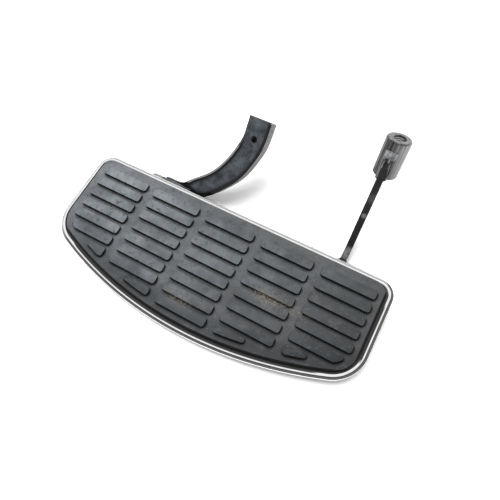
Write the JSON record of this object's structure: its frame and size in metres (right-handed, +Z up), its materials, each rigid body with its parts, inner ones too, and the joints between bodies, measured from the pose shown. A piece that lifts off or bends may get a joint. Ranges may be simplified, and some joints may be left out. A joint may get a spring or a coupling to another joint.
{
  "type": "motorcycle floorboard",
  "caption": "Folding rider footboard: D-shaped tray with a ribbed rubber mat, hinged along its straight edge on a curved arm and a bar arm with a threaded boss.",
  "frame": {"origin": "upper end of the thread in the bar arm's boss, on its axis", "axes": "+X along the deck from the curved arm towards the bar arm, +Y inboard towards the motorcycle, +Z up, square to the deck"},
  "size_m": [0.34, 0.2426, 0.1025],
  "materials": {
    "mat_rubber": "matt moulded rubber",
    "cast_aluminium": "cast, rim polished",
    "black_paint": "worn satin black paint",
    "bare_steel": "bare turned steel",
    "weld_steel": "rough weld bead",
    "zinc_steel": "zinc plated steel",
    "bronze_bush": "sintered bronze",
    "spring_steel": "oiled spring wire"
  },
  "bodies": {
    "bar_arm": {"bar_arm": "black_paint", "bar_barrel": "black_paint", "bar_arm_bushes": "bronze_bush", "barrel_welds": "black_paint", "frame_boss": "bare_steel", "boss_welds": "weld_steel", "return_spring": "spring_steel"},
    "deck": {"tray": "cast_aluminium", "rubber_mat": "mat_rubber", "curved_arm_pin": "zinc_steel", "bar_arm_pin": "zinc_steel", "pin_washers": "zinc_steel", "split_pins": "zinc_steel", "stop_pads": "mat_rubber", "ground_pegs": "zinc_steel"},
    "curved_arm": {"curved_arm": "black_paint", "curved_arm_bushes": "bronze_bush"}
  },
  "joints": [
    {"name": "deck_fold", "type": "hinge", "parent": "bar_arm", "child": "deck", "pos_m": [-0.0014, -0.1011, -0.08596], "axis": [-1, 0, 0], "range_deg": [0, 40], "stiffness_Nm_per_rad": 0.6, "springref_deg": -45.84, "deforming": ["return_spring"]},
    {"name": "curved_arm_pivot", "type": "hinge", "parent": "deck", "child": "curved_arm", "pos_m": [-0.184, -0.1011, -0.08596], "axis": [1, 0, 0], "range_deg": [0, 40]}
  ],
  "couplings": [
    {"joint": "curved_arm_pivot", "follows": "deck_fold", "ratio": 1}
  ]
}
